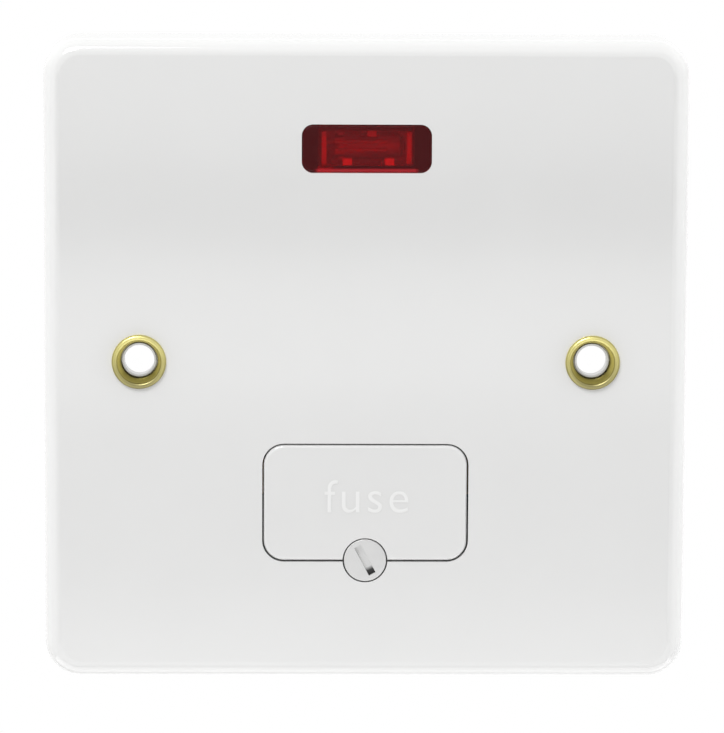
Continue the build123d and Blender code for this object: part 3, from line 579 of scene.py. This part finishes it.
# The word on the drawer follows the slope of the crowned face
crown_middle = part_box("front_plate")[0][1] + CROWN_RADIUS
word_mesh, _ = letter_mesh(WORD)
for vertex in word_mesh.vertices:
    across, up, out = vertex.co
    z = WORD_BASE + up * (WORD_TOP - WORD_BASE)
    face_y = crown_middle - math.sqrt(CROWN_RADIUS**2 - z**2)
    y = face_y + WORD_SUNK - out * (WORD_SUNK + WORD_PROUD)
    vertex.co = (WORD_LEFT + across * (WORD_RIGHT - WORD_LEFT), y, z)
word_white = surface(
    "word_white", (0.87, 0.87, 0.865), (0.84, 0.84, 0.835), (0.2, 0.3), 300, 1 * MICRON,
)
add_piece("drawer_word", word_mesh, word_white, "drawer")

mark_grey = surface(
    "mark_grey", (0.34, 0.34, 0.35), (0.27, 0.27, 0.28), (0.4, 0.5), 900, 4 * MICRON,
)


def mark_depth(out):
    """The Y of a point of a rear mark, from its share of the mark's depth."""
    return DECK_BACK - MARK_SUNK + out * (MARK_SUNK + MARK_PROUD)


# The rear marks read from behind, so they run towards -X
for name, (words, mark_x, mark_z) in MARKS.items():
    mark_mesh, aspect = letter_mesh(words)
    for vertex in mark_mesh.vertices:
        across, up, out = vertex.co
        x = mark_x + (0.5 - across) * MARK_HEIGHT * aspect
        vertex.co = (x, mark_depth(out), mark_z + (up - 0.5) * MARK_HEIGHT)
    add_piece(name, mark_mesh, mark_grey, "unit")

# The earth sign: four raised bars with sloping sides
points = []
faces = []
for (left, right), (low, high) in EARTH_BARS:
    first = len(points)
    for out, inset in ((0, 0), (1, BAR_DRAFT)):
        for x, z in corners(left + inset, right - inset, low + inset, high - inset):
            points.append((EARTH_MARK_X - x, mark_depth(out), EARTH_MARK_Z + z))
    faces.append([first + i for i in (0, 3, 2, 1)])
    faces.append([first + i for i in (4, 5, 6, 7)])
    faces += side_faces(first)
earth_mesh = bpy.data.meshes.new("mark_earth")
earth_mesh.from_pydata(points, [], faces)
add_piece("mark_earth", earth_mesh, mark_grey, "unit")


def add_panel(name, points, faces, material):
    """A panel of the studio around the part."""
    mesh = bpy.data.meshes.new(name)
    mesh.from_pydata(points, [], faces)
    mesh.materials.append(material)
    panel = bpy.data.objects.new(name, mesh)
    scene.collection.objects.link(panel)
    return panel


def only_gloss_sees(panel):
    """Hides a panel from everything but reflections."""
    panel.visible_camera = False
    panel.visible_diffuse = False
    panel.visible_shadow = False
    panel.visible_transmission = False


def glowing(name):
    """A material that only glows, and the socket of its strength."""
    material = bpy.data.materials.new(name)
    material.use_nodes = True
    tree = material.node_tree
    tree.nodes.clear()
    glow = tree.nodes.new("ShaderNodeEmission")
    output = tree.nodes.new("ShaderNodeOutputMaterial")
    tree.links.new(glow.outputs["Emission"], output.inputs["Surface"])
    return material, glow.inputs["Strength"]


# Floor: plain and pale, below the part, which hangs as on its wall, and fading out into the white around it
floor_pale = surface("pale_floor", (0.84, 0.84, 0.84), (0.82, 0.82, 0.82), (0.6, 0.7), 20, 5 * MICRON)
tree = floor_pale.node_tree
place = tree.nodes.new("ShaderNodeTexCoord")
reach = tree.nodes.new("ShaderNodeVectorMath")
reach.operation = "LENGTH"
tree.links.new(place.outputs["Object"], reach.inputs[0])
fade = ramp(tree, reach.outputs["Value"], FLOOR_SOLID, FLOOR_HALF, smooth=True)
clear = tree.nodes.new("ShaderNodeBsdfTransparent")
blend = tree.nodes.new("ShaderNodeMixShader")
tree.links.new(fade, blend.inputs["Fac"])
tree.links.new(tree.nodes["Principled BSDF"].outputs["BSDF"], blend.inputs[1])
tree.links.new(clear.outputs["BSDF"], blend.inputs[2])
tree.links.new(blend.outputs["Shader"], tree.nodes["Material Output"].inputs["Surface"])
floor_points = [(x, y, FLOOR_Z) for x, y in corners(-FLOOR_HALF, FLOOR_HALF, -FLOOR_HALF, FLOOR_HALF)]
floor = add_panel("floor", floor_points, [(0, 1, 2, 3)], floor_pale)
floor.visible_glossy = False

# Reflector: its bands as a curve of brightness over height, with the even level towards both sides
card_heights = [height for height, level in CARD_BANDS]
card_low = min(card_heights)
card_high = max(card_heights)
brightest = max(level for height, level in CARD_BANDS)
card_glow, card_strength = glowing("reflector_bands")
tree = card_glow.node_tree
card_x, _, card_z = coordinates(tree)
bands = tree.nodes.new("ShaderNodeFloatCurve")
curve_points = bands.mapping.curves[0].points
while len(curve_points) < len(CARD_BANDS):
    curve_points.new(0.5, 0.5)
for point, (height, level) in zip(curve_points, CARD_BANDS):
    point.location = ((height - card_low) / (card_high - card_low), level / brightest)
bands.mapping.update()
tree.links.new(ramp(tree, card_z, card_low, card_high), bands.inputs["Value"])
band_level = combine(tree, "MULTIPLY", bands.outputs["Value"], brightest)
side = ramp(tree, combine(tree, "ABSOLUTE", card_x), CARD_SIDE_START, CARD_SIDE_END, smooth=True)
card_level = tree.nodes.new("ShaderNodeMix")
tree.links.new(side, card_level.inputs["Factor"])
tree.links.new(band_level, card_level.inputs["A"])
card_level.inputs["B"].default_value = CARD_SIDE_LEVEL
tree.links.new(card_level.outputs["Result"], card_strength)
card_points = [(x, CARD_Y, z) for x, z in corners(-CARD_HALF_WIDTH, CARD_HALF_WIDTH, card_low, card_high)]
card = add_panel("reflector", card_points, [(0, 1, 2, 3)], card_glow)
only_gloss_sees(card)

flag_grey, flag_strength = glowing("flag_dark")
flag_strength.default_value = FLAG_LEVEL
flag_ring = corners(-FLAG_REACH, FLAG_REACH, -FLAG_REACH, FLAG_REACH)
flag_points = [(x, y, z) for y in (FLAG_FRONT, FLAG_BACK) for x, z in flag_ring]
flags = add_panel("flags", flag_points, side_faces(0), flag_grey)
only_gloss_sees(flags)

# Surroundings: white to the camera, to gloss and through glass, and a plain level for soft light
world = bpy.data.worlds.new("studio")
scene.world = world
world.use_nodes = True
tree = world.node_tree
tree.nodes.clear()
seen = add_node(tree, "ShaderNodeBackground", Color=WHITE, Strength=BACKGROUND_LEVEL)
fill = add_node(tree, "ShaderNodeBackground", Color=WHITE, Strength=FILL_LEVEL)
path = tree.nodes.new("ShaderNodeLightPath").outputs
either = combine(tree, "MAXIMUM", path["Is Camera Ray"], path["Is Glossy Ray"])
direct = combine(tree, "MAXIMUM", either, path["Is Transmission Ray"])
mix = tree.nodes.new("ShaderNodeMixShader")
tree.links.new(direct, mix.inputs["Fac"])
tree.links.new(fill.outputs["Background"], mix.inputs[1])
tree.links.new(seen.outputs["Background"], mix.inputs[2])
output = tree.nodes.new("ShaderNodeOutputWorld")
tree.links.new(mix.outputs["Shader"], output.inputs["Surface"])

for name, (place, size, watts) in LAMPS.items():
    light = bpy.data.lights.new(name, "AREA")
    light.shape = "RECTANGLE"
    light.size, light.size_y = size
    light.energy = watts
    lamp = bpy.data.objects.new(name, light)
    lamp.location = place
    lamp.rotation_euler = (-Vector(place)).to_track_quat("-Z", "Y").to_euler()
    scene.collection.objects.link(lamp)

# Camera
sight = Vector((
    -math.sin(CAMERA_AZIMUTH) * math.cos(CAMERA_ELEVATION),
    math.cos(CAMERA_AZIMUTH) * math.cos(CAMERA_ELEVATION),
    -math.sin(CAMERA_ELEVATION),
))
lens = bpy.data.cameras.new("camera")
lens.sensor_fit = "HORIZONTAL"
lens.sensor_width = SENSOR_WIDTH
lens.lens = FOCAL_PIXELS / PHOTO_WIDTH * SENSOR_WIDTH
camera = bpy.data.objects.new("camera", lens)
camera.location = CAMERA_TARGET - CAMERA_DISTANCE * sight
camera.rotation_euler = sight.to_track_quat("-Z", "Y").to_euler()
camera.rotation_euler.rotate_axis("Z", CAMERA_ROLL)
scene.collection.objects.link(camera)
scene.camera = camera
scene.view_settings.view_transform = "Standard"
